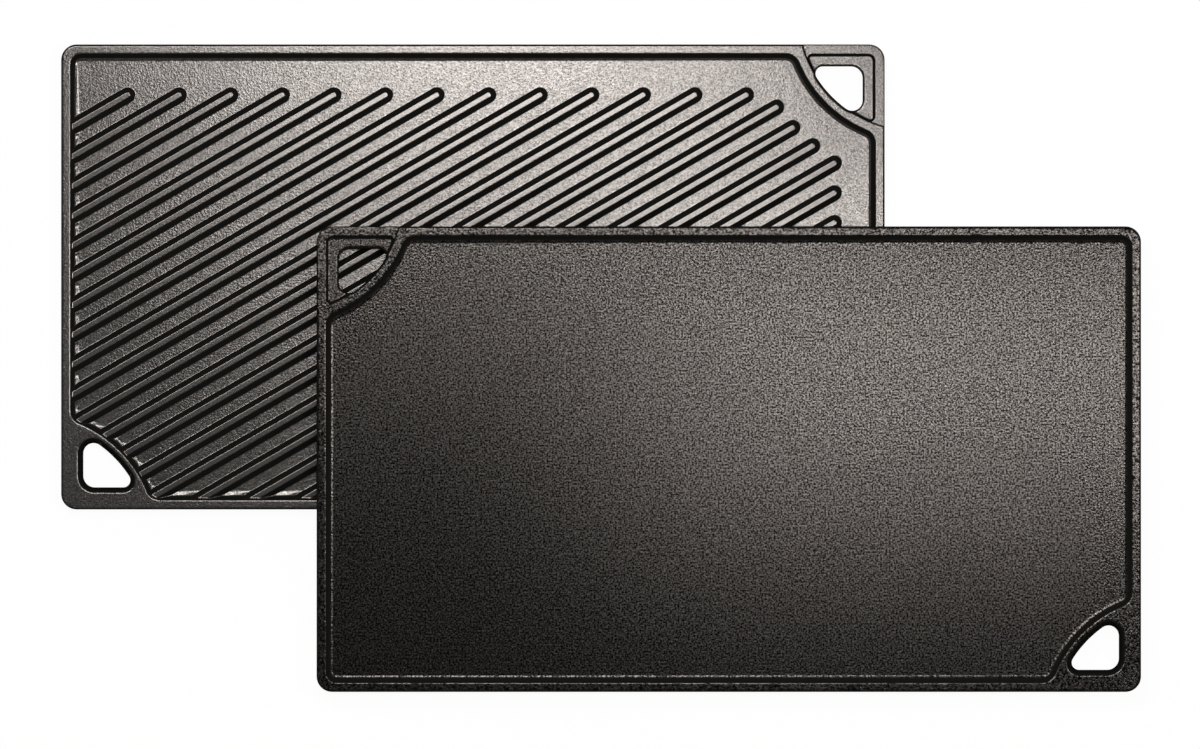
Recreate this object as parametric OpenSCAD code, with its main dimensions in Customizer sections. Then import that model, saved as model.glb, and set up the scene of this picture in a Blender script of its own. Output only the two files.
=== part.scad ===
// Reversible cast-iron griddle plates: two alike castings, one lying on the other.
// Each plate has a smooth cooking face, a ribbed cooking face and a hand loop in two opposite corners.
// The lower plate lies ribbed side up, the upper one smooth side up, shifted to the right and to the front.

/* [Plate] */
// Length of one plate
plate_length = 425; // [320:1:520]
// Width of one plate
plate_width = 240; // [190:1:320]
// Radius of a plate's outer corners
corner_radius = 8; // [3:0.5:14]
// Width and height of the bevel that eases a plate's outer edges
edge_ease = 1; // [0.2:0.1:1.4]
// Thickness of the iron between the two cooking faces
floor_thickness = 3.5; // [2.5:0.1:6]

/* [Rim] */
// Width of the rim's top, its eased outer edge included
rim_width = 4.3; // [3:0.1:7]
// Plan width of the rim's inner wall, its foot included
wall_run = 4.2; // [3:0.1:7]
// Plan width of the eased foot where the wall meets the floor
foot_run = 2.6; // [0.5:0.1:2.8]
// Height of the eased foot
foot_rise = 1.2; // [0.3:0.1:2]
// Depth of the smooth face below the rim
smooth_depth = 4; // [2.5:0.1:7]
// Depth of the ribbed face's floor below the rim
ribbed_depth = 4; // [2.5:0.1:7]
// Radius of the floor's plain corners
floor_corner_radius = 2; // [0.5:0.1:8]

/* [Ribs] */
// Angle between the ribs and the long sides, in degrees
rib_angle = 30; // [20:1:50]
// Spacing of the ribs, measured square to them
rib_pitch = 13.3; // [10:0.1:20]
// Distance from the plate's middle to the nearest rib, measured square to the ribs
rib_offset = -2.5; // [-10:0.1:10]
// Width of a rib at its crest
rib_crest = 2.6; // [1:0.1:4]
// Width of a rib at its foot
rib_foot = 7.9; // [4.5:0.1:9]
// Depth of the crests below the rim
rib_drop = 1; // [0.3:0.1:1.8]
// Gap from the floor's edge to the centre of a rib's free end
rib_end_gap = 17.6; // [6:0.1:30]

/* [Hand loops] */
// Distance from a corner's two edges out to the centre of its arcs
arc_centre_out = 15; // [12:0.5:16]
// Radius of the arc between the hand loop and its rim
arc_radius = 60; // [58:0.5:70]
// Width of the flat top of the rim along the arc
arc_rim_width = 3.5; // [3:0.1:6]
// Radius of the bends that join the arc to the straight walls, at the floor
bend_radius = 4; // [1:0.1:8]
// Width of the raised border along the outer edges of a hand loop
border_width = 4.6; // [3:0.1:6]
// Depth of that border below the rim
border_drop = 0.8; // [0.2:0.1:1.5]
// Depth of the finger recess below the rim
recess_depth = 3.2; // [1.8:0.1:4.5]
// Radius of the recess's outer corner
recess_corner_radius = 4; // [1:0.1:6]
// Radius of the recess's two ends
recess_end_radius = 2; // [0.5:0.1:3]
// Distance from the outer edges to the straight sides of the hand hole
hole_inset = 11.4; // [10:0.1:12.5]
// Ledge between the hand hole and the arc
hole_ledge = 0.5; // [0.3:0.1:1]
// Radius of the hand hole's outer corner
hole_corner_radius = 6; // [4:0.1:7]
// Radius of the hand hole's end on the long side
hole_long_end_radius = 3.7; // [2:0.1:5]
// Radius of the hand hole's end on the short side
hole_short_end_radius = 5.3; // [3:0.1:6]
// How much wider the hand hole is, on each side, at its flush face
hole_flare = 2.4; // [0.2:0.1:2.6]

/* [Stack] */
// Shift of the upper plate along the length, from the lower one
stack_shift_x = 132; // [60:1:160]
// Shift of the upper plate across the width, from the lower one
stack_shift_y = 94; // [40:1:110]

/* [Hidden] */

// Extra height that carries a cut past a face, or roots a rib in the floor
overcut = 0.5;
// Steps along a corner, a bend or a rib's end
corner_steps = 8;
// Steps along a hand loop's arc
arc_steps = 12;

plate_thickness = floor_thickness + smooth_depth + ribbed_depth;
rib_height = ribbed_depth - rib_drop;
half_length = plate_length / 2;
half_width = plate_width / 2;
floor_half_length = half_length - rim_width - wall_run;
floor_half_width = half_width - rim_width - wall_run;
floor_arc_radius = arc_radius + arc_rim_width + wall_run;
loop_arc_centre = [arc_centre_out, arc_centre_out];
arc_centre = [half_length, half_width] + loop_arc_centre;

along = [cos(rib_angle), sin(rib_angle)];
across = [-sin(rib_angle), cos(rib_angle)];

// Points on an arc from one angle to another, without the last one where the next arc starts there
function arc_points(centre, radius, from, to, steps, joins_next = false) =
    [for (i = [0:steps - (joins_next ? 1 : 0)])
        let (angle = from + (to - from) * i / steps)
        centre + radius * [cos(angle), sin(angle)]];

// The hollow's outline round the arc at the +X +Y corner, grown by g beyond the floor's edge
function arc_corner(g) =
    let (
        reach = floor_arc_radius + bend_radius,
        low_x = floor_half_length - bend_radius,
        low_y = arc_centre.y - sqrt(reach ^ 2 - (arc_centre.x - low_x) ^ 2),
        high_y = floor_half_width - bend_radius,
        high_x = arc_centre.x - sqrt(reach ^ 2 - (arc_centre.y - high_y) ^ 2),
        low_turn = atan2(arc_centre.y - low_y, arc_centre.x - low_x),
        high_turn = atan2(arc_centre.y - high_y, arc_centre.x - high_x)
    )
    concat(
        arc_points([low_x, low_y], bend_radius + g, 0, low_turn, corner_steps, true),
        arc_points(arc_centre, floor_arc_radius - g, low_turn + 180, high_turn + 180, arc_steps, true),
        arc_points([high_x, high_y], bend_radius + g, high_turn, 90, corner_steps)
    );

// The hollow's outline round the plain corner at +X -Y, grown by g
function plain_corner(g) =
    arc_points(
        [floor_half_length - floor_corner_radius, floor_corner_radius - floor_half_width],
        floor_corner_radius + g, -90, 0, corner_steps
    );

// The whole outline of a hollow, whose second half is the first one turned half round
function hollow_ring(g) =
    let (half = concat(plain_corner(g), arc_corner(g)))
    concat(half, [for (p = half) -p]);

// A plate's outline, drawn in by inset
function plate_ring(inset) =
    [for (turn = [0:90:270], p = arc_points(
        [(turn % 270 == 0 ? 1 : -1) * (half_length - corner_radius),
            (turn < 180 ? 1 : -1) * (half_width - corner_radius)],
        corner_radius - inset, turn, turn + 90, corner_steps)) p];

// The centre of an opening's round end, on the long side of a hand loop whose corner is at the origin.
// The opening lies inset from the edges and within an arc of that radius.
function end_centre(inset, end, radius) =
    let (out = inset + end)
    [arc_centre_out - sqrt((radius - end) ^ 2 - (arc_centre_out + out) ^ 2), -out];

// The direction of that centre from the centre of the arcs
function end_turn(centre) = 360 + atan2(centre.y - arc_centre_out, centre.x - arc_centre_out);

// The outline of such an opening, grown by g
function loop_ring(inset, corner, long_end, short_end, radius, g) =
    let (
        long_centre = end_centre(inset, long_end, radius),
        short_mirrored = end_centre(inset, short_end, radius),
        short_centre = [short_mirrored.y, short_mirrored.x],
        long_turn = end_turn(long_centre),
        short_turn = end_turn(short_centre)
    )
    concat(
        arc_points([-inset - corner, -inset - corner], corner + g, 0, 90, corner_steps),
        arc_points(long_centre, long_end + g, 90, long_turn, corner_steps, true),
        arc_points(loop_arc_centre, radius + g, long_turn, short_turn, arc_steps, true),
        arc_points(short_centre, short_end + g, short_turn, 360, corner_steps)
    );

function recess_ring() =
    loop_ring(border_width, recess_corner_radius, recess_end_radius, recess_end_radius, arc_radius, 0);

// The slice of the arc's circle that the border is lowered in, with the recess's own points along the arc
function border_ring() =
    let (
        first_turn = end_turn(end_centre(border_width, recess_end_radius, arc_radius)),
        turns = [180, first_turn, 450 - first_turn, 270],
        steps = [corner_steps, arc_steps, corner_steps]
    )
    concat(
        [loop_arc_centre],
        [for (k = [0:2], p = arc_points(
            loop_arc_centre, arc_radius, turns[k], turns[k + 1], steps[k], k < 2)) p]
    );

function hole_ring(g) =
    loop_ring(
        hole_inset, hole_corner_radius, hole_long_end_radius, hole_short_end_radius,
        arc_radius - hole_ledge, g
    );

// A solid through rings that have equally many points, each at its own height
module ring_solid(rings, heights) {
    n = len(rings[0]);
    last = len(rings) - 1;
    points = [for (k = [0:last]) for (p = rings[k]) [p.x, p.y, heights[k]]];
    sides = [for (k = [0:last - 1]) for (i = [0:n - 1])
        let (j = (i + 1) % n) [k * n + i, k * n + n + i, k * n + n + j, k * n + j]];
    base = [for (i = [0:n - 1]) i];
    top = [for (i = [n - 1:-1:0]) last * n + i];
    polyhedron(points, concat([base], sides, [top]));
}

// A plate before it is hollowed, standing on z = 0
module slab() {
    ring_solid(
        [for (inset = [edge_ease, 0, 0, edge_ease]) plate_ring(inset)],
        [0, edge_ease, plate_thickness - edge_ease, plate_thickness]
    );
}

// The hollow above a cooking face, with its floor at z = 0
module hollow(depth) {
    growths = [0, foot_run, wall_run, wall_run];
    heights = [0, foot_rise, depth, depth + overcut];
    ring_solid([for (g = growths) hollow_ring(g)], heights);
}

// Where along itself the rib at distance c meets a circle: near end with side -1, far end with side 1
function on_circle(c, centre, radius, side) =
    centre * along + side * sqrt(radius ^ 2 - (c - centre * across) ^ 2);

function crosses(c, centre, radius) = abs(c - centre * across) < radius;

// Where the rib at distance c ends freely, short of the far walls and of the far arc
function rib_tip(c) =
    let (
        to_long_side = (floor_half_width - rib_end_gap - c * across.y) / along.y,
        to_short_side = (floor_half_length - rib_end_gap - c * across.x) / along.x,
        radius = floor_arc_radius + rib_end_gap,
        to_arc = crosses(c, arc_centre, radius) ? on_circle(c, arc_centre, radius, -1) : to_long_side
    )
    min(to_long_side, to_short_side, to_arc);

// Where the rib at distance c comes out of the near walls or of the near arc
function rib_root(c) =
    let (
        from_long_side = (-floor_half_width - c * across.y) / along.y,
        from_short_side = (-floor_half_length - c * across.x) / along.x,
        from_arc = crosses(c, -arc_centre, floor_arc_radius)
            ? on_circle(c, -arc_centre, floor_arc_radius, 1) : from_long_side
    )
    max(from_long_side, from_short_side, from_arc);

// A rib's outline at one height: a round free end, and a root that runs back into the rim
function rib_ring(c, half) =
    let (tip = rib_tip(c), root = rib_root(c) - (wall_run + rib_foot) / min(along))
    [for (p = concat([[root, -half]], arc_points([tip, 0], half, -90, 90, corner_steps), [[root, half]]))
        p.x * along + (c + p.y) * across];

// The ribs that are longer than they are wide, standing on the floor at z = 0
module ribs() {
    reach = ceil((half_length * along.y + half_width * along.x) / rib_pitch);
    side_slope = (rib_foot - rib_crest) / 2 / rib_height;
    intersection() {
        for (i = [-reach:reach]) {
            c = rib_offset + i * rib_pitch;
            if (rib_tip(c) - rib_root(c) > rib_foot)
                ring_solid(
                    [rib_ring(c, rib_foot / 2 + side_slope * overcut), rib_ring(c, rib_crest / 2)],
                    [-overcut, rib_height]
                );
        }
        translate([0, 0, -2 * overcut])
            linear_extrude(rib_height + 3 * overcut)
                polygon(hollow_ring(wall_run));
    }
}

// What a hand loop takes away, with the corner of its recessed face at the origin and its flush face below
module hand_loop_cuts() {
    translate([0, 0, -border_drop])
        linear_extrude(border_drop + overcut)
            polygon(border_ring());
    translate([0, 0, -recess_depth])
        linear_extrude(recess_depth)
            polygon(recess_ring());
    ring_solid(
        [hole_ring(hole_flare), hole_ring(hole_flare), hole_ring(0), hole_ring(0)],
        [-plate_thickness - overcut, -plate_thickness, -recess_depth, overcut - recess_depth]
    );
}

// One casting, ribbed side up, standing on z = 0 about its middle
module plate() {
    difference() {
        slab();
        translate([0, 0, smooth_depth])
            mirror([0, 0, 1])
                hollow(smooth_depth);
        translate([0, 0, plate_thickness - ribbed_depth])
            difference() {
                hollow(ribbed_depth);
                ribs();
            }
        translate([half_length, half_width, plate_thickness])
            hand_loop_cuts();
        translate([-half_length, -half_width, 0])
            mirror([0, 0, 1])
                rotate(180)
                    hand_loop_cuts();
    }
}

module ribbed_side_up_plate() {
    color("#3a3835")
        translate([-stack_shift_x / 2, stack_shift_y / 2, 0])
            plate();
}

module smooth_side_up_plate() {
    color("#2c2a28")
        translate([stack_shift_x / 2, -stack_shift_y / 2, 2 * plate_thickness])
            rotate([180, 0, 0])
                plate();
}

ribbed_side_up_plate();
smooth_side_up_plate();
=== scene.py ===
# %% [markdown]
# # Two cast-iron griddle plates
# A reversible griddle plate is one iron casting: a smooth cooking face on one side, a ribbed
# one on the other, a rim round both and a hand loop in two opposite corners. Two alike plates
# lie on each other here, the lower one ribbed side up and the upper one smooth side up.
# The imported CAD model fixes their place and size, so it is loaded first and never moved. Its
# edges are sharp or plainly bevelled, and this script gives the plates the rounded edges, the
# fillets and the seasoned skin that sand-cast iron really has.

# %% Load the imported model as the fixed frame
import math

import bmesh
import bpy
import numpy as np
from mathutils import Matrix, Vector
from mathutils.geometry import delaunay_2d_cdt


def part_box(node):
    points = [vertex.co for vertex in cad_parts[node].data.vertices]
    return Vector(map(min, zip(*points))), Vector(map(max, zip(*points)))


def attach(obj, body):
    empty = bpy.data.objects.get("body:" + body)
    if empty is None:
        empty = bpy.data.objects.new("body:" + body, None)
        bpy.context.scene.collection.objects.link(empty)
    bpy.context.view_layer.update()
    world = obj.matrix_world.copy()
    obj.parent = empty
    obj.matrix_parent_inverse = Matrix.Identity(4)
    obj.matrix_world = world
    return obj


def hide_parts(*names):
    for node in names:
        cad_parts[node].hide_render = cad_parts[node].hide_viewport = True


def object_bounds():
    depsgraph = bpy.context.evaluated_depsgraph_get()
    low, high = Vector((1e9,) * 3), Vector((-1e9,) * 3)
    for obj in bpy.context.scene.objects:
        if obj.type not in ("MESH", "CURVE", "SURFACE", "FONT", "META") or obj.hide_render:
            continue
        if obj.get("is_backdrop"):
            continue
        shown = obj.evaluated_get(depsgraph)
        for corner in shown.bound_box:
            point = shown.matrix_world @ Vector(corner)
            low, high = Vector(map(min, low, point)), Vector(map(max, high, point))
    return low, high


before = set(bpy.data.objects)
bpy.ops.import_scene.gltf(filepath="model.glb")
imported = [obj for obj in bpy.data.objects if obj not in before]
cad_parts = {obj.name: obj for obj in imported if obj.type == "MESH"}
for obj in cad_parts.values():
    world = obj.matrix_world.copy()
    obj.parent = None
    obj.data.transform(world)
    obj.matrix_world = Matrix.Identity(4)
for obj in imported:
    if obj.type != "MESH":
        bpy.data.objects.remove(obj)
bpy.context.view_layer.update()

# %% [markdown]
# ## Sizes
# The sizes are those of the CAD model, in millimetres, with the radii of the rounded edges and
# fillets added. A foundry thinks in steps: each step has a rounded edge, a drafted slope, so
# that the sand lets go of the pattern, and a foot fillet, where the iron flows round a corner.
# One step is therefore four numbers: its width in plan, its height, its edge and foot radius.

# %% Sizes of one plate, in millimetres
MM = 0.001

# The whole plate
HALF = np.array([425.0, 240.0]) / 2
CORNER_RADIUS = 8.0
THICKNESS = 11.5
SMOOTH_DEPTH = RIBBED_DEPTH = 4.0
OUTER_EDGE_RADIUS = 1.0
LOWERED_EDGE_RADIUS = 0.4
PARTING_DRAFT = 0.25

# Rim, wall and floor
RIM_WIDTH = 4.3
WALL_STEP = dict(run=4.2, rise=4.0, edge=1.05, foot=2.8)
FLOOR_CORNER_RADIUS = 2.0
BEND_RADIUS = 4.0

# Hand loops: an arc round a point outside the plate's corner parts each one from the floor.
# An opening's radii are at the plate's corner, then at its ends by the long and the short side.
ARC_CENTRE_OUT = 15.0
ARC_RADIUS = 60.0
ARC_RIM_WIDTH = 3.5
BORDER_WIDTH = 4.6
BORDER_STEP = dict(run=0.9, rise=0.8, edge=0.35, foot=0.35)
RECESS_STEP = dict(run=1.9, rise=2.4, edge=0.5, foot=0.8)
RECESS_RADII = (4.0, 3.0, 3.0)
HOLE_INSET = 11.4
HOLE_LEDGE = 0.5
HOLE_RADII = (6.0, 3.7, 5.3)
HOLE_LIP_STEP = dict(run=1.3, rise=1.3, edge=1.3, foot=0.0)
LIP_DEPTH = BORDER_STEP["rise"] + RECESS_STEP["rise"] + HOLE_LIP_STEP["rise"]
FLARE_STEP = dict(run=3.2, rise=THICKNESS - LIP_DEPTH, edge=1.1, foot=0.0)

# Ribs: the offset is from the plate's middle to one rib's, the gap from a free end to the floor's edge
RIB_ANGLE = math.radians(30)
RIB_PITCH = 13.3
RIB_OFFSET = -2.5
RIB_HEIGHT = 3.0
RIB_CREST_HALF = 1.3
RIB_FOOT_HALF = 3.95
RIB_CREST_ROUNDING = 0.35
RIB_FOOT_ROUNDING = 0.4
RIB_END_GAP = 17.6
RIB_WALL_BLEND = 1.2

# Worked out from these
FLOOR_HALF = HALF - RIM_WIDTH - WALL_STEP["run"]
FLOOR_ARC_RADIUS = ARC_RADIUS + ARC_RIM_WIDTH + WALL_STEP["run"]
LOOP_CENTRE = np.array([ARC_CENTRE_OUT, ARC_CENTRE_OUT])
ARC_CENTRE = HALF + LOOP_CENTRE
print("Floor of a cooking face, mm:", 2 * FLOOR_HALF)

# %% [markdown]
# ## Outlines and how far a point lies from them
# Every outline on the plate is made of straight sides and arcs. For each one two things are
# needed: its points, to draw contour lines that follow it, and the distance of any point from
# it, to look up how deep the iron is there. Outlines that are symmetrical under a half turn
# are written for the right half of the plate only, and points on the left are turned over.

# %% Arcs, and the distance from an outline
CORNER_STEPS = 10
ARC_STEPS = 24


def arc(centre, radius, start, end, steps):
    """Points on an arc in plan, from one angle in degrees to another."""
    turn = np.radians(np.linspace(start, end, steps + 1))
    return centre + radius * np.column_stack([np.cos(turn), np.sin(turn)])


def heading(start, end):
    """The direction from one point to another, in degrees from 0 to 360."""
    return math.degrees(math.atan2(end[1] - start[1], end[0] - start[0])) % 360


def growth(points, sides, corners):
    """How far points lie outside an outline: by its sides, or in a corner's sector by that."""
    out = np.max(sides, axis=0)
    for centre, radius, start, end in corners:
        away = points - centre
        turn = (np.degrees(np.arctan2(away[:, 1], away[:, 0])) - start) % 360
        out = np.where(turn <= end - start, np.hypot(*away.T) - radius, out)
    return out


print("An arc along a hand loop has", ARC_STEPS, "steps, a corner", CORNER_STEPS)


# %% The plate's outline
def outline_points(inset):
    """The plate's outline, drawn in by inset."""
    signs = ((1, 1), (-1, 1), (-1, -1), (1, -1))
    middle = HALF - CORNER_RADIUS
    return np.concatenate([
        arc(middle * sign, CORNER_RADIUS - inset, 90 * k, 90 * k + 90, CORNER_STEPS)
        for k, sign in enumerate(signs)
    ])


def outline_inset(points):
    """How far points lie inside the plate's outline."""
    past = np.abs(points) - (HALF - CORNER_RADIUS)
    round_part = np.hypot(*np.maximum(past, 0).T)
    return CORNER_RADIUS - round_part - np.minimum(past.max(axis=1), 0)


print("The outline has", len(outline_points(0)), "points")

# %% The edge of the cooking floor
reach = FLOOR_ARC_RADIUS + BEND_RADIUS
low_x, high_y = FLOOR_HALF - BEND_RADIUS
low_bend = np.array([low_x, ARC_CENTRE[1] - math.sqrt(reach**2 - (ARC_CENTRE[0] - low_x) ** 2)])
high_bend = np.array([ARC_CENTRE[0] - math.sqrt(reach**2 - (ARC_CENTRE[1] - high_y) ** 2), high_y])
plain_corner = (FLOOR_HALF - FLOOR_CORNER_RADIUS) * (1, -1)
low_turn, high_turn = heading(low_bend, ARC_CENTRE), heading(high_bend, ARC_CENTRE)
FLOOR_CORNERS = [
    (plain_corner, FLOOR_CORNER_RADIUS, -90, 0),
    (low_bend, BEND_RADIUS, 0, low_turn),
    (high_bend, BEND_RADIUS, high_turn, 90),
]


def right_half(points):
    """The points, with those on the left turned over to the right half of the plate."""
    return points * np.where(points[:, :1] < 0, -1, 1)


def floor_points(grow):
    """The edge of the cooking floor, grown outwards."""
    plain, low, high = [
        arc(centre, radius + grow, start, end, CORNER_STEPS)
        for centre, radius, start, end in FLOOR_CORNERS
    ]
    turns = low_turn + 180, high_turn + 180
    along_arc = arc(ARC_CENTRE, FLOOR_ARC_RADIUS - grow, *turns, ARC_STEPS)
    half = np.concatenate([plain, low, along_arc[1:-1], high])
    return np.concatenate([half, -half])


def floor_growth(points):
    """How far points of the right half lie outside the cooking floor's edge."""
    from_arc = np.hypot(*(points - ARC_CENTRE).T)
    sides = [*(np.abs(points) - FLOOR_HALF).T, FLOOR_ARC_RADIUS - from_arc]
    return growth(points, sides, FLOOR_CORNERS)


print("The floor's edge has", len(floor_points(0)), "points")


# %% The openings of a hand loop, with the plate's corner at the origin
class LoopOutline:
    """A three-sided opening between the plate's two edges and the arc, with rounded corners."""

    def __init__(self, inset, radius, radii):
        self.inset, self.radius = inset, radius
        corner_radius, long_end, short_end = radii
        out = ARC_CENTRE_OUT + inset
        along = [
            ARC_CENTRE_OUT - math.sqrt((radius - end) ** 2 - (out + end) ** 2)
            for end in (long_end, short_end)
        ]
        long_centre = np.array([along[0], -inset - long_end])
        short_centre = np.array([-inset - short_end, along[1]])
        self.turns = heading(LOOP_CENTRE, long_centre), heading(LOOP_CENTRE, short_centre)
        self.corners = [
            (np.array([-1, -1]) * (inset + corner_radius), corner_radius, 0, 90),
            (long_centre, long_end, 90, self.turns[0]),
            (short_centre, short_end, self.turns[1], 360),
        ]

    def points(self, grow):
        """The opening's outline, grown outwards."""
        corner, long_end, short_end = [
            arc(centre, radius + grow, start, end, CORNER_STEPS)
            for centre, radius, start, end in self.corners
        ]
        along_arc = arc(LOOP_CENTRE, self.radius + grow, *self.turns, ARC_STEPS)
        return np.concatenate([corner, long_end, along_arc[1:-1], short_end])

    def growth(self, points):
        """How far points lie outside the opening."""
        sides = [*(points + self.inset).T, np.hypot(*(points - LOOP_CENTRE).T) - self.radius]
        return growth(points, sides, self.corners)


RECESS = LoopOutline(BORDER_WIDTH, ARC_RADIUS, RECESS_RADII)
HOLE = LoopOutline(HOLE_INSET, ARC_RADIUS - HOLE_LEDGE, HOLE_RADII)
print("A hand hole's edge has", len(HOLE.points(0)), "points")

# %% [markdown]
# ## One rule for every step of the casting
# A step comes down from its upper edge along an arc, a straight slope and a second arc, all
# tangent to each other. Written as a formula it can be looked up at any distance, and it also
# says where contour lines are worth drawing: closely round the two arcs and nowhere else.
# One more line just beside each arc holds the flat iron next to it level. Without it, smooth
# shading would spread the arc's slope over the whole floor.

# %% The step: its slope, its depth at a distance, and its contour lines
ROUND_LINES = 6
HOLD = 0.3
DECIMALS = 4


def step_slope(run, rise, edge, foot):
    """The angle of the straight slope that is tangent to the rounded edge and to the foot."""
    drop = rise - edge - foot
    return math.atan2(drop, run) + math.asin(min((edge + foot) / math.hypot(run, drop), 1))


def step_drop(away, run, rise, edge, foot):
    """How far the step has come down at a distance from its upper edge."""
    slope = step_slope(run, rise, edge, foot)
    away = np.clip(away, 0, run)
    on_edge = edge - np.sqrt(np.maximum(edge**2 - away**2, 0))
    on_foot = rise - foot + np.sqrt(np.maximum(foot**2 - (run - away) ** 2, 0))
    on_slope = edge * (1 - math.cos(slope)) + (away - edge * math.sin(slope)) * math.tan(slope)
    below_edge = np.where(away > run - foot * math.sin(slope), on_foot, on_slope)
    return np.where(away < edge * math.sin(slope), on_edge, below_edge)


def step_stops(run, rise, edge, foot):
    """Distances for contour lines: one just before the step and, if it has a foot, one after it."""
    turn = np.linspace(0, step_slope(run, rise, edge, foot), ROUND_LINES)
    stops = [-HOLD, *(edge * np.sin(turn)), *(run - foot * np.sin(turn))]
    if foot:
        stops.append(run + HOLD)
    return np.unique(np.round(stops, DECIMALS))


for name, step in (("wall", WALL_STEP), ("recess", RECESS_STEP), ("flare", FLARE_STEP)):
    print(name, "slope:", round(math.degrees(step_slope(**step))), "degrees")

# %% [markdown]
# ## How deep the iron lies below the rim
# A plate's two faces are alike but for the ribs: a floor inside a wall, and at each corner with
# a hand loop either a finger recess, with a lowered border round it, or on the other side of
# the same loop a flush corner whose hole flares out. The depth at a point is the sum of the
# steps that lie between the rim and that point. At the hole's edge both faces reach the same
# level, where the mould's two halves met.

# %% Depth of one face below its rim, without ribs
ON_EDGE = 0.001  # a point nearer than this to a line counts as on it


def face_depth(points, recessed_side, floor_depth):
    """Depth at points in plan; recessed_side is 1 if the +X +Y corner is the recessed one."""
    folded = right_half(points)
    corner = folded - HALF
    recessed = np.where(points[:, 0] < 0, -1, 1) == recessed_side
    wall = step_drop(WALL_STEP["run"] - floor_growth(folded), **{**WALL_STEP, "rise": floor_depth})
    border = step_drop(ARC_RADIUS - np.hypot(*(corner - LOOP_CENTRE).T), **BORDER_STEP)
    ledge = border + step_drop(-RECESS.growth(corner), **RECESS_STEP)
    from_hole = HOLE.growth(corner)
    from_hole[np.abs(from_hole) < ON_EDGE] = 0
    lip = step_drop(HOLE_LIP_STEP["run"] - from_hole, **HOLE_LIP_STEP) / HOLE_LIP_STEP["rise"]
    flare = step_drop(FLARE_STEP["run"] - from_hole, **FLARE_STEP)
    loop = np.where(recessed, ledge + (LIP_DEPTH - ledge) * lip, flare)
    lowered = np.where(recessed, border / BORDER_STEP["rise"], 0)
    radius = OUTER_EDGE_RADIUS + (LOWERED_EDGE_RADIUS - OUTER_EDGE_RADIUS) * lowered
    near_edge = np.clip(radius - outline_inset(points) + PARTING_DRAFT, 0, radius)
    return wall + loop + radius - np.sqrt(radius**2 - near_edge**2)


print("Depth in the middle:", face_depth(np.zeros((1, 2)), 1, SMOOTH_DEPTH)[0], "mm")

# %% [markdown]
# ## Where the ribs lie
# The ribs run at 30 degrees to the long sides. Each one comes out of the near wall, or out of
# the near hand loop's arc, and ends freely at the same distance from the far ones, so that fat
# can run round their ends.

# %% Where each rib ends
ALONG = np.array([math.cos(RIB_ANGLE), math.sin(RIB_ANGLE)])
ACROSS = np.array([-ALONG[1], ALONG[0]])
MOST_TO_A_SIDE = 20  # more ribs than there is room for on either side of the middle


def ends_of_rib(distance):
    """Places along a rib where it comes out of the near wall, and where its free end is centred."""

    def on_circle(centre, radius, side):
        across = distance - centre @ ACROSS
        if abs(across) >= radius:
            return None
        return centre @ ALONG + side * math.sqrt(radius**2 - across**2)

    starts = [
        *((-FLOOR_HALF - distance * ACROSS) / ALONG),
        on_circle(-ARC_CENTRE, FLOOR_ARC_RADIUS, 1),
    ]
    ends = [
        *((FLOOR_HALF - RIB_END_GAP - distance * ACROSS) / ALONG),
        on_circle(ARC_CENTRE, FLOOR_ARC_RADIUS + RIB_END_GAP, -1),
    ]
    return max(s for s in starts if s is not None), min(e for e in ends if e is not None)


ribs = {}
for number in range(-MOST_TO_A_SIDE, MOST_TO_A_SIDE + 1):
    start, end = ends_of_rib(RIB_OFFSET + number * RIB_PITCH)
    if end - start > 2 * RIB_FOOT_HALF:
        ribs[number] = (start, end)
print(len(ribs), "ribs")

# %% [markdown]
# ## The plan: contour lines joined by triangles
# Seen from above, the plate is a map: contour lines along every edge, fillet and rib. Blender
# has a function that joins any set of lines into triangles without crossing one of them, a
# constrained Delaunay triangulation. It puts points where lines cross, for instance where a rib
# runs into the wall. That keeps flat iron free of useless faces, and gives the fillets plenty.
# The finger recess's lines cross the edge of the hand hole, so they are drawn on both faces, also on
# the one without that recess. The hole's two edges then match point for point.

# %% Lines along the ribs
CREST_LINES = 5
FOOT_LINES = 7
TIP_STEPS = 12
TRIALS = 400
RIB_SLOPE = RIB_HEIGHT / (RIB_FOOT_HALF - RIB_CREST_HALF)
CREST_ROUND_RUN = RIB_CREST_ROUNDING / RIB_SLOPE
FOOT_ROUND_RUN = RIB_FOOT_ROUNDING / RIB_SLOPE


def rib_lines():
    """Lines along each rib: its middle, and close ones round the edges of its crest and its foot."""
    inner = RIB_CREST_HALF + CREST_ROUND_RUN * np.linspace(-1, 1, CREST_LINES)
    outer = RIB_FOOT_HALF + FOOT_ROUND_RUN * np.linspace(-1, 1, FOOT_LINES)
    offsets = [inner[0] - HOLD, *inner, *outer, outer[-1] + HOLD]
    behind = 2 * (WALL_STEP["run"] + RIB_FOOT_HALF) / ALONG.min()
    lines = []
    for number, (start, end) in ribs.items():
        root = start - behind
        profiles = [np.array([[root, 0], [end, 0]])]
        for offset in offsets:
            tip = arc(np.array([end, 0]), offset, -90, 90, TIP_STEPS)
            profiles.append(np.vstack([[root, -offset], tip, [root, offset]]))
        middle = RIB_OFFSET + number * RIB_PITCH
        lines += [line[:, :1] * ALONG + (middle + line[:, 1:]) * ACROSS for line in profiles]
    return lines


def cut_at_rim(line):
    """A rib's line without what would lie under the rim: its ends stop at the wall's upper edge."""
    kept = np.array(line)
    for end, beside in ((0, 1), (-1, -2)):
        inner, outer = kept[beside], kept[end]
        trial = inner + (outer - inner) * np.linspace(0, 1, TRIALS)[:, None]
        past = np.nonzero(floor_growth(right_half(trial)) > WALL_STEP["run"])[0]
        if len(past):
            kept[end] = trial[past[0]]
    return kept


lines_on_ribs = [cut_at_rim(line) for line in rib_lines()]
print(len(lines_on_ribs), "lines along the ribs")


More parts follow.
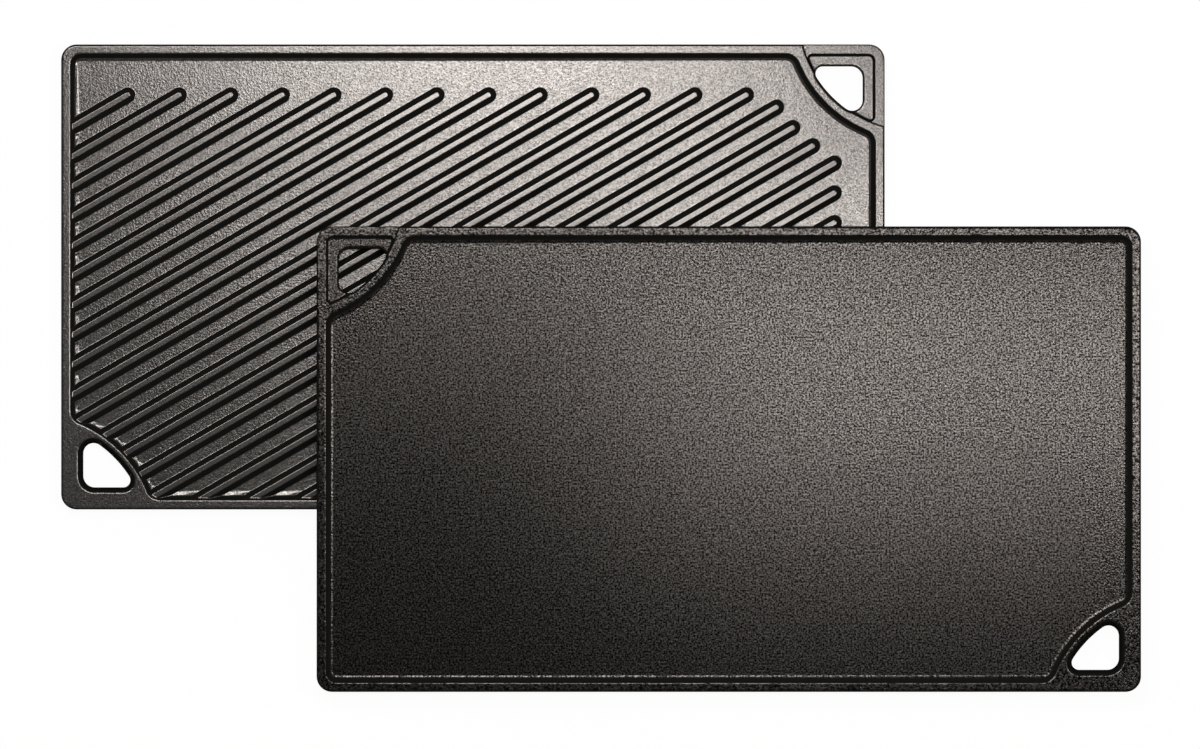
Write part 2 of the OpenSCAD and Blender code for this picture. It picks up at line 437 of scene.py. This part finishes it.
# %% Contour lines of one face
def face_lines(recessed_side):
    """Closed and open contour lines of a face in plan."""
    turn = np.radians(np.linspace(0, 90, ROUND_LINES))
    round_edge = np.append(OUTER_EDGE_RADIUS * (1 - np.cos(turn)), OUTER_EDGE_RADIUS + HOLD)
    closed = [outline_points(inset) for inset in PARTING_DRAFT + round_edge]
    closed += [floor_points(WALL_STEP["run"] - away) for away in step_stops(**WALL_STEP)]
    opened = []
    for side in (1, -1):
        hole_step = HOLE_LIP_STEP if side == recessed_side else FLARE_STEP
        loop = [HOLE.points(hole_step["run"] - away) for away in step_stops(**hole_step)]
        loop += [RECESS.points(-away) for away in step_stops(**RECESS_STEP)]
        closed += [side * (points + HALF) for points in loop]
        for away in step_stops(**BORDER_STEP):
            radius = ARC_RADIUS - away
            spare = math.degrees(math.asin((ARC_CENTRE_OUT + PARTING_DRAFT) / radius))
            bow = arc(LOOP_CENTRE, radius, 180 + spare, 270 - spare, ARC_STEPS)
            opened.append(side * (bow + HALF))
    return closed, opened


ribbed_closed, ribbed_opened = face_lines(recessed_side=1)
ribbed_closed += [floor_points(-RIB_WALL_BLEND), floor_points(-RIB_WALL_BLEND - HOLD)]
ribbed_opened += lines_on_ribs
smooth_closed, smooth_opened = face_lines(recessed_side=-1)
print("Lines: ribbed face", len(ribbed_closed) + len(ribbed_opened), end=", ")
print("smooth face", len(smooth_closed) + len(smooth_opened))

# %% Triangles between the contour lines
SAME_POINT = 1e-5


def triangulate(closed, opened):
    """Plan points and counter-clockwise triangles between contour lines, without the hand holes."""
    points, edges = [], []
    for line, is_closed in [(c, True) for c in closed] + [(o, False) for o in opened]:
        first = len(points)
        points += [Vector(p) for p in line]
        count = len(line)
        links = count if is_closed else count - 1
        edges += [(first + i, first + (i + 1) % count) for i in range(links)]
    joined = delaunay_2d_cdt(points, edges, [], 0, SAME_POINT)
    plan, triangles = np.array(joined[0]), np.array(joined[2])
    in_hole = (HOLE.growth(right_half(plan) - HALF) < ON_EDGE)[triangles].all(axis=1)
    triangles = triangles[~in_hole]
    a, b, c = plan[triangles].transpose(1, 0, 2)
    turned = np.cross(b - a, c - a) < 0
    triangles[turned] = triangles[turned][:, ::-1]
    return plan, triangles


ribbed_plan, ribbed_triangles = triangulate(ribbed_closed, ribbed_opened)
smooth_plan, smooth_triangles = triangulate(smooth_closed, smooth_opened)
print("Triangles: ribbed face", len(ribbed_triangles), "- smooth face", len(smooth_triangles))

# %% [markdown]
# ## The blank plate
# Both plans get their depth and are joined to one closed shell: at the hand holes they meet, and
# round the outside a wall closes the gap. That wall bulges by a hair at half height, because a
# casting is drafted both ways from the parting line of its mould. The blank also carries three
# values for each point of the ribbed face, which the next step reads: how high the wall stands
# there, how far past its rib's free end the point lies, and if it lies within the rim at all.
# A fourth value tells the material which of the two faces a point belongs to.

# %% Heights of the faces, and their outermost points
ribbed_z = THICKNESS - face_depth(ribbed_plan, 1, RIBBED_DEPTH)
smooth_z = face_depth(smooth_plan, -1, SMOOTH_DEPTH)
shift = len(ribbed_plan)


def outer_ring(plan, first):
    """Numbers of a face's outermost points, in order round the plate."""
    ring = np.nonzero(outline_inset(plan) < PARTING_DRAFT + ON_EDGE)[0]
    return first + ring[np.argsort(np.arctan2(plan[ring, 1], plan[ring, 0]))]


upper_ring, lower_ring = outer_ring(ribbed_plan, 0), outer_ring(smooth_plan, shift)
if len(upper_ring) != len(lower_ring):
    raise RuntimeError("the two faces have different outer rings")
print("Points round the plate:", len(upper_ring))

# %% Join the two faces to one closed shell
edge_plan = ribbed_plan[upper_ring]
outwards = edge_plan - np.clip(edge_plan, CORNER_RADIUS - HALF, HALF - CORNER_RADIUS)
parting_plan = edge_plan + outwards * PARTING_DRAFT / (CORNER_RADIUS - PARTING_DRAFT)
shell = np.concatenate([
    np.column_stack([ribbed_plan, ribbed_z]),
    np.column_stack([smooth_plan, smooth_z]),
    np.column_stack([parting_plan, np.full(len(parting_plan), THICKNESS / 2)]),
])
middle_ring = shift + len(smooth_plan) + np.arange(len(parting_plan))
faces = [*ribbed_triangles.tolist(), *(smooth_triangles[:, ::-1] + shift).tolist()]
for above, below in ((upper_ring, middle_ring), (middle_ring, lower_ring)):
    after = np.roll(np.arange(len(above)), -1)
    faces += np.column_stack([above, below, below[after], above[after]]).tolist()
blank = bpy.data.meshes.new("blank_plate")
blank.from_pydata((shell * MM).tolist(), [], faces)
print("Blank plate:", len(shell), "points,", len(faces), "faces")

# %% Values on the points that the ribs and the material read
grow = floor_growth(right_half(ribbed_plan))
wall_drop = step_drop(WALL_STEP["run"] - grow, **WALL_STEP)
wall_height = np.where(grow < 0, grow, RIBBED_DEPTH - wall_drop)
nearest = np.round((ribbed_plan @ ACROSS - RIB_OFFSET) / RIB_PITCH).astype(int)
NO_RIB = 1000.0
tips = np.array([ribs[n][1] if n in ribs else -NO_RIB for n in nearest.tolist()])
past_tips = ribbed_plan @ ALONG - tips


def store(mesh, name, kind, values, rest):
    """Keeps one value for each point of the ribbed face, and rest for all other points."""
    full = np.full(len(mesh.vertices), rest)
    full[: len(values)] = values
    mesh.attributes.new(name, kind, "POINT").data.foreach_set("value", full)


store(blank, "wall_height", "FLOAT", (wall_height * MM).astype(np.float32), np.float32(0))
store(blank, "past_tip", "FLOAT", (past_tips * MM).astype(np.float32), np.float32(0))
store(blank, "within_rim", "BOOLEAN", grow < WALL_STEP["run"] - ON_EDGE, False)
store(blank, "smooth_face", "FLOAT", np.zeros(len(ribbed_plan), np.float32), np.float32(1))
print("Points within the rim of the ribbed face:", int((grow < WALL_STEP["run"]).sum()))

# %% [markdown]
# ## Ribs by Geometry Nodes
# All ribs follow one rule, so a node tree raises them: it turns the plan until the ribs lie
# along X, wraps the distance across them to the nearest crest, and lifts the floor by a smooth
# slope from crest to foot. Where a rib runs into the wall, a smooth maximum of both heights
# leaves the fillet that a pattern maker works in with wax or leather.


# %% A helper that adds nodes, and the inputs of the rib tree
def add_node(tree, kind, inputs, **settings):
    """Adds a node with its settings; an input takes a value, a socket or a node's first output."""
    node = tree.nodes.new(kind)
    for name, value in settings.items():
        setattr(node, name, value)
    for key, value in inputs.items():
        if isinstance(value, bpy.types.Node):
            value = value.outputs[0]
        if isinstance(value, bpy.types.NodeSocket):
            tree.links.new(value, node.inputs[key])
        else:
            node.inputs[key].default_value = value
    return node


RIB_SIZES = {
    "Rib angle": RIB_ANGLE,
    "Rib pitch": RIB_PITCH * MM,
    "Rib offset": RIB_OFFSET * MM,
    "Crest half width": RIB_CREST_HALF * MM,
    "Foot half width": RIB_FOOT_HALF * MM,
    "Rib height": RIB_HEIGHT * MM,
    "Crest rounding": RIB_CREST_ROUNDING * MM,
    "Foot rounding": RIB_FOOT_ROUNDING * MM,
    "Foot reach": (RIB_FOOT_HALF + FOOT_ROUND_RUN) * MM,
    "Wall blend": RIB_WALL_BLEND * MM,
    "Floor level": (THICKNESS - RIBBED_DEPTH) * MM,
    "Rim height": RIBBED_DEPTH * MM,
}
tree = bpy.data.node_groups.new("raise_ribs", "GeometryNodeTree")
tree.interface.new_socket("Geometry", in_out="INPUT", socket_type="NodeSocketGeometry")
for name in RIB_SIZES:
    tree.interface.new_socket(name, in_out="INPUT", socket_type="NodeSocketFloat")
tree.interface.new_socket("Iron", in_out="INPUT", socket_type="NodeSocketMaterial")
tree.interface.new_socket("Geometry", in_out="OUTPUT", socket_type="NodeSocketGeometry")
given = add_node(tree, "NodeGroupInput", {}).outputs
print("The rib tree takes", len(RIB_SIZES), "sizes")

# %% How far each point lies from the nearest crest line
MATH = "ShaderNodeMath"
STORED = "GeometryNodeInputNamedAttribute"
place = add_node(tree, "GeometryNodeInputPosition", {})
back_turn = add_node(tree, MATH, {0: given["Rib angle"], 1: -1.0}, operation="MULTIPLY")
turned = add_node(
    tree, "ShaderNodeVectorRotate", {"Vector": place, "Angle": back_turn}, rotation_type="Z_AXIS"
)
across = add_node(tree, "ShaderNodeSeparateXYZ", {0: turned}).outputs["Y"]
from_first = add_node(tree, MATH, {0: across, 1: given["Rib offset"]}, operation="SUBTRACT")
half_pitch = add_node(tree, MATH, {0: given["Rib pitch"], 1: 2.0}, operation="DIVIDE")
to_crest = add_node(tree, MATH, {0: from_first, 1: half_pitch}, operation="PINGPONG")
past_tip = add_node(tree, STORED, {"Name": "past_tip"}, data_type="FLOAT")
past_end = add_node(tree, MATH, {0: past_tip, 1: 0.0}, operation="MAXIMUM")
from_rib = add_node(tree, "ShaderNodeCombineXYZ", {"X": to_crest, "Y": past_end})
away = add_node(tree, "ShaderNodeVectorMath", {0: from_rib}, operation="LENGTH").outputs["Value"]
print("Nodes so far:", len(tree.nodes))

# %% The height of a rib at that distance, joined to the wall
slope = add_node(
    tree, "ShaderNodeMapRange",
    {
        "Value": away, "From Min": given["Crest half width"], "From Max": given["Foot half width"],
        "To Min": given["Rib height"], "To Max": 0.0,
    },
    clamp=False,
)
crested = add_node(
    tree, MATH, {0: slope, 1: given["Rib height"], 2: given["Crest rounding"]}, operation="SMOOTH_MIN"
)
footed = add_node(tree, MATH, {0: crested, 1: 0.0, 2: given["Foot rounding"]}, operation="SMOOTH_MAX")
past_foot = add_node(tree, MATH, {0: away, 1: given["Foot reach"]}, operation="SUBTRACT")
beyond = add_node(tree, MATH, {0: past_foot, 1: 0.0}, operation="MAXIMUM")
rib = add_node(tree, MATH, {0: footed, 1: beyond}, operation="SUBTRACT")
wall = add_node(tree, STORED, {"Name": "wall_height"}, data_type="FLOAT")
joined = add_node(
    tree, MATH, {0: wall.outputs["Attribute"], 1: rib, 2: given["Wall blend"]}, operation="SMOOTH_MAX"
)
lift = add_node(tree, "ShaderNodeClamp", {"Value": joined, "Min": 0.0, "Max": given["Rim height"]})
print("Nodes so far:", len(tree.nodes))

# %% Move the points, and note for the material where the crests are
level = add_node(tree, MATH, {0: lift, 1: given["Floor level"]}, operation="ADD")
plan_place = add_node(tree, "ShaderNodeSeparateXYZ", {0: place}).outputs
raised = add_node(
    tree, "ShaderNodeCombineXYZ", {"X": plan_place["X"], "Y": plan_place["Y"], "Z": level}
)
within = add_node(tree, STORED, {"Name": "within_rim"}, data_type="BOOLEAN").outputs["Attribute"]
moved = add_node(
    tree, "GeometryNodeSetPosition",
    {"Geometry": given["Geometry"], "Selection": within, "Position": raised},
)
share = add_node(tree, MATH, {0: footed, 1: given["Rib height"]}, operation="DIVIDE")
noted = add_node(
    tree, "GeometryNodeStoreNamedAttribute",
    {"Geometry": moved, "Selection": within, "Name": "crest", "Value": share},
    data_type="FLOAT", domain="POINT",
)
realized = add_node(tree, "GeometryNodeRealizeInstances", {0: noted})
finished = add_node(
    tree, "GeometryNodeSetMaterial", {"Geometry": realized, "Material": given["Iron"]}
)
add_node(tree, "NodeGroupOutput", {0: finished})
print("The rib tree has", len(tree.nodes), "nodes")

# %% [markdown]
# ## Seasoned sand-cast iron
# Sand leaves grey iron pebbly, with grains of about a millimetre. Oil burnt on in thin coats, the
# seasoning, turns it black and satin. The iron shines through it, so most of the shader is a dark
# metal, whose highlights keep its own neutral grey. The rest is the matte burnt oil. The pits between
# the pebbles are painted darker than the pebbles, partly soot and partly painted shade of the relief.
# The smooth face is painted darker, as painted shade, and its pits deeper. Crests of ribs are rubbed
# smooth by scrapers. Steep walls are matte, and their dark colour is partly soot and partly painted
# shade.

# %% Where the material changes
GRAIN_SIZE = 0.9
# steep walls get the dark soot colour, which is partly soot and partly painted shade
WALL_SHADE_LEVELNESS, BARE_LEVELNESS = 0.85, 0.96  # upward share of the surface's normal
CREST_BEGINS, CREST_IS_FULL = 0.7, 0.95  # shares of the rib's height
iron = bpy.data.materials.new("seasoned_sand_cast_iron")
iron.use_nodes = True
skin = iron.node_tree
skin.nodes.clear()
spot = add_node(skin, "ShaderNodeTexCoord", {}).outputs
grain = add_node(
    skin, "ShaderNodeTexNoise",
    {"Vector": spot["Object"], "Scale": 1 / (GRAIN_SIZE * MM), "Detail": 2.0, "Roughness": 0.5},
)
facing = add_node(skin, "ShaderNodeSeparateXYZ", {0: spot["Normal"]}).outputs["Z"]
levelness = add_node(skin, MATH, {0: facing}, operation="ABSOLUTE")
# 1 on level iron, which stays bare; 0 on steep walls, which get soot and painted shade
level_bare_unshaded = add_node(
    skin, "ShaderNodeMapRange",
    {"Value": levelness, "From Min": WALL_SHADE_LEVELNESS, "From Max": BARE_LEVELNESS},
    interpolation_type="SMOOTHSTEP",
)
crest = add_node(skin, "ShaderNodeAttribute", {}, attribute_name="crest").outputs["Fac"]
polish = add_node(
    skin, "ShaderNodeMapRange",
    {"Value": crest, "From Min": CREST_BEGINS, "From Max": CREST_IS_FULL},
)
# which face a point is on; the smooth face is painted darker, as painted shade, and its pits more so
smooth_face_shading = add_node(skin, "ShaderNodeAttribute", {}, attribute_name="smooth_face").outputs["Fac"]
print("Grain of", GRAIN_SIZE, "mm")


# %% Colour of the iron: pebbles, pits, soot and painted shade
def linear(hex_colour):
    """The linear colour of an sRGB hex value."""
    parts = [int(hex_colour[i : i + 2], 16) / 255 for i in (1, 3, 5)]
    return (*[p / 12.92 if p <= 0.04045 else ((p + 0.055) / 1.055) ** 2.4 for p in parts], 1)


RIBBED_FACE = linear("#908b87")
# the smooth face's darker colour is painted shade
SHADED_SMOOTH_FACE = linear("#504c49")
# soot and painted shade of the steep walls
SOOT_AND_WALL_SHADE = linear("#2a2927")
# the dark pits of the grain are partly soot and partly painted shade of the relief, deepest on the
# smooth face
RIBBED_CONTRAST, SMOOTH_CONTRAST = 2.6, 9.0
GRAIN_ON_CRESTS = 0.3
MEAN_GRAIN = 0.5
DARKEST_PIT = 0.1
# the smooth face is mixed darker: painted shade
even = add_node(
    skin, "ShaderNodeMix", {"Factor": smooth_face_shading, "A": RIBBED_FACE, "B": SHADED_SMOOTH_FACE}, data_type="RGBA"
).outputs["Result"]
strength = add_node(
    skin, "ShaderNodeMapRange", {"Value": polish, "To Min": 1.0, "To Max": GRAIN_ON_CRESTS}
)
contrast = add_node(
    skin, "ShaderNodeMapRange",
    {"Value": smooth_face_shading, "To Min": RIBBED_CONTRAST, "To Max": SMOOTH_CONTRAST},
)
# grain below its mean is painted darker: partly soot in the pits, partly painted shade
above_mean = add_node(skin, MATH, {0: grain, 1: MEAN_GRAIN}, operation="SUBTRACT")
relief = add_node(skin, MATH, {0: above_mean, 1: strength}, operation="MULTIPLY")
shade = add_node(skin, MATH, {0: relief, 1: contrast, 2: 1.0}, operation="MULTIPLY_ADD")
tone = add_node(skin, MATH, {0: shade, 1: DARKEST_PIT}, operation="MAXIMUM")
pebbled = add_node(skin, "ShaderNodeVectorMath", {0: even, "Scale": tone}, operation="SCALE")
# steep walls take the soot colour, partly soot and partly painted shade
colour = add_node(
    skin, "ShaderNodeMix", {"Factor": level_bare_unshaded, "A": SOOT_AND_WALL_SHADE, "B": pebbled}, data_type="RGBA"
).outputs["Result"]
print("Nodes so far:", len(skin.nodes))

# %% Gloss and relief of the iron
IRON_SHARE = 0.72
GRAIN_HEIGHT = 0.06
CAST_ROUGHNESS, CREST_ROUGHNESS = 0.14, 0.15
roughness = add_node(
    skin, "ShaderNodeMapRange",
    {"Value": polish, "To Min": CAST_ROUGHNESS, "To Max": CREST_ROUGHNESS},
)
bumpy = add_node(
    skin, "ShaderNodeBump", {"Height": grain, "Strength": strength, "Distance": GRAIN_HEIGHT * MM}
)
bare = add_node(skin, MATH, {0: level_bare_unshaded, 1: IRON_SHARE}, operation="MULTIPLY")
shader = add_node(
    skin, "ShaderNodeBsdfPrincipled",
    {
        "Base Color": colour, "Metallic": bare, "Specular IOR Level": 0.0,
        "Roughness": roughness, "Normal": bumpy,
    },
)
add_node(skin, "ShaderNodeOutputMaterial", {"Surface": shader})
print("Material:", iron.name, "of", len(skin.nodes), "nodes")

# %% [markdown]
# ## Two plates from one pattern
# The modifier is set by socket identifiers, evaluated once and turned into a plain mesh. Both
# plates are poured from the same pattern, so the second one is the same mesh turned over about
# its long axis. Each takes the place of its CAD node and rides on that node's body.

# %% Make the casting
WELD = 0.002
IRON_DENSITY = 7200  # kilograms in a cubic metre
maker = bpy.data.objects.new("pattern", blank)
bpy.context.scene.collection.objects.link(maker)
modifier = maker.modifiers.new("raise_ribs", "NODES")
modifier.node_group = tree
for item in tree.interface.items_tree:
    if item.in_out == "INPUT" and item.name in RIB_SIZES:
        modifier[item.identifier] = RIB_SIZES[item.name]
    elif item.name == "Iron":
        modifier[item.identifier] = iron
casting = bpy.data.meshes.new_from_object(maker.evaluated_get(bpy.context.evaluated_depsgraph_get()))
bpy.data.objects.remove(maker)
for name in ("wall_height", "past_tip", "within_rim"):
    casting.attributes.remove(casting.attributes[name])
welded = bmesh.new()
welded.from_mesh(casting)
bmesh.ops.remove_doubles(welded, verts=welded.verts, dist=WELD * MM)
welded.to_mesh(casting)
open_edges = sum(not edge.is_manifold for edge in welded.edges)
kilograms = welded.calc_volume() * IRON_DENSITY
welded.free()
casting.shade_smooth()
print("Casting:", len(casting.polygons), "faces,", open_edges, "open edges,", round(kilograms, 2), "kg")

# %% Lay the two plates where the CAD has them
TURNED_OVER = Matrix.Rotation(math.pi, 4, "X")
TO_ITS_MIDDLE = Matrix.Translation((0, 0, -THICKNESS / 2 * MM))
for node, body, turn in (
    ("ribbed_side_up_plate", "lower_plate", Matrix.Identity(4)),
    ("smooth_side_up_plate", "upper_plate", TURNED_OVER),
):
    low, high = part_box(node)
    mesh = casting.copy()
    mesh.transform(Matrix.Translation((low + high) / 2) @ turn @ TO_ITS_MIDDLE)
    plate = bpy.data.objects.new(node.replace("_plate", "_casting"), mesh)
    bpy.context.scene.collection.objects.link(plate)
    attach(plate, body)
    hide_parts(node)
    print(plate.name, "at", [round(1000 * x, 1) for x in (low + high) / 2], "mm")

# %% [markdown]
# ## Floor, light and camera
# The plates lie on plain white paper. It glows for the camera and in mirror images, so that the
# background turns out white, and what light it takes from the lamps keeps the plates' soft shadows.

# %% Floor
FLOOR_REACH = 30.0
PAPER_MATTE = linear("#616161")
PAPER_GLOW = linear("#fafafa")
corners = [(x * FLOOR_REACH, y * FLOOR_REACH, 0) for x, y in ((-1, -1), (1, -1), (1, 1), (-1, 1))]
floor_mesh = bpy.data.meshes.new("floor")
floor_mesh.from_pydata(corners, [], [(0, 1, 2, 3)])
floor = bpy.data.objects.new("floor", floor_mesh)
bpy.context.scene.collection.objects.link(floor)
paper = bpy.data.materials.new("white_paper")
paper.use_nodes = True
sheet = paper.node_tree
sheet.nodes.clear()
rays = add_node(sheet, "ShaderNodeLightPath", {}).outputs
direct = add_node(
    sheet, MATH, {0: rays["Is Camera Ray"], 1: rays["Is Glossy Ray"]}, operation="MAXIMUM"
)
seen = add_node(sheet, MATH, {0: direct, 1: rays["Is Transmission Ray"]}, operation="MAXIMUM")
matte = add_node(sheet, "ShaderNodeBsdfDiffuse", {"Color": PAPER_MATTE})
glow = add_node(sheet, "ShaderNodeEmission", {"Color": PAPER_GLOW, "Strength": seen})
both = add_node(sheet, "ShaderNodeAddShader", {0: matte, 1: glow})
add_node(sheet, "ShaderNodeOutputMaterial", {"Surface": both})
floor_mesh.materials.append(paper)
floor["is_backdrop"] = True
print("Floor of", 2 * FLOOR_REACH, "m")

# %% [markdown]
# Iron shows mostly what it mirrors. The lamps hang high over the plates, and each one is there for
# something in the photograph. The softbox behind the plates brightens the back of each floor and
# lets the front fall into the dark. The strip light brightens the right half of the front plate,
# the side light draws a bright line along the feet of the left-hand walls, and the corner light
# one along the upper edge of each rib. The room is dark overhead, where flat iron mirrors it,
# and lighter towards its walls, so that the plates can be made out from the side.

# %% The room
WALL_LIGHT, CEILING_LIGHT = 0.4, 0.001
WALL_TOP, CEILING_FROM = 0.25, 0.75  # heights on a dome of radius 1
world = bpy.data.worlds.new("studio")
world.use_nodes = True
room = world.node_tree
room.nodes.clear()
direction = add_node(room, "ShaderNodeTexCoord", {}).outputs["Generated"]
upwards = add_node(room, "ShaderNodeSeparateXYZ", {0: direction}).outputs["Z"]
shine = add_node(
    room, "ShaderNodeMapRange",
    {
        "Value": upwards, "From Min": WALL_TOP, "From Max": CEILING_FROM,
        "To Min": WALL_LIGHT, "To Max": CEILING_LIGHT,
    },
    interpolation_type="SMOOTHSTEP",
)
walls = add_node(room, "ShaderNodeBackground", {"Color": (1, 1, 1, 1), "Strength": shine})
add_node(room, "ShaderNodeOutputWorld", {"Surface": walls})
bpy.context.scene.world = world
print("Walls of the room shine with", WALL_LIGHT, "- ceiling with", CEILING_LIGHT)

# %% Lamps
for name, location, size, watts in (
    ("softbox", (-0.055, 0.50, 1.80), (0.325, 0.80), 3.8),
    ("strip_light", (0.32, 0.01, 1.25), (0.56, 0.12), 1.1),
    ("side_light", (0.84, 0.07, 1.89), (0.30, 0.22), 1.65),
    ("corner_light", (-0.55, 0.62, 1.80), (0.45, 0.45), 3.5),
):
    light = bpy.data.lights.new(name, "AREA")
    light.shape = "RECTANGLE"
    light.size, light.size_y = size
    light.energy = watts
    lamp = bpy.data.objects.new(name, light)
    lamp.location = location
    lamp.visible_camera = False
    bpy.context.scene.collection.objects.link(lamp)
    print(name, "of", size, "m,", watts, "W")

# %% [markdown]
# The photograph looks straight down and shows hardly any perspective, so the camera hangs far
# above the plates and has a long lens. The lens follows from the width of the picture at the
# level where the two plates meet.

# %% Camera
VIEW_WIDTH = 0.619
VIEW_CENTRE = (-0.0004, -0.00335)
CAMERA_HEIGHT = 10.0
SENSOR_WIDTH = 36
camera_data = bpy.data.cameras.new("camera")
camera_data.sensor_width = SENSOR_WIDTH
camera_data.lens = SENSOR_WIDTH * (CAMERA_HEIGHT - THICKNESS * MM) / VIEW_WIDTH
camera = bpy.data.objects.new("camera", camera_data)
camera.location = (*VIEW_CENTRE, CAMERA_HEIGHT)
bpy.context.scene.collection.objects.link(camera)
bpy.context.scene.camera = camera
bpy.context.scene.view_settings.view_transform = "Standard"
print("Lens:", round(camera_data.lens), "mm")

# %% [markdown]
# ## The size of the result
# The dressed plates are meant to stay inside the box of the CAD model, so the box of the dressed
# plates is printed.

# %% The box of the dressed plates
low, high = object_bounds()
print("Visual box, mm:", [round(1000 * s, 2) for s in high - low])
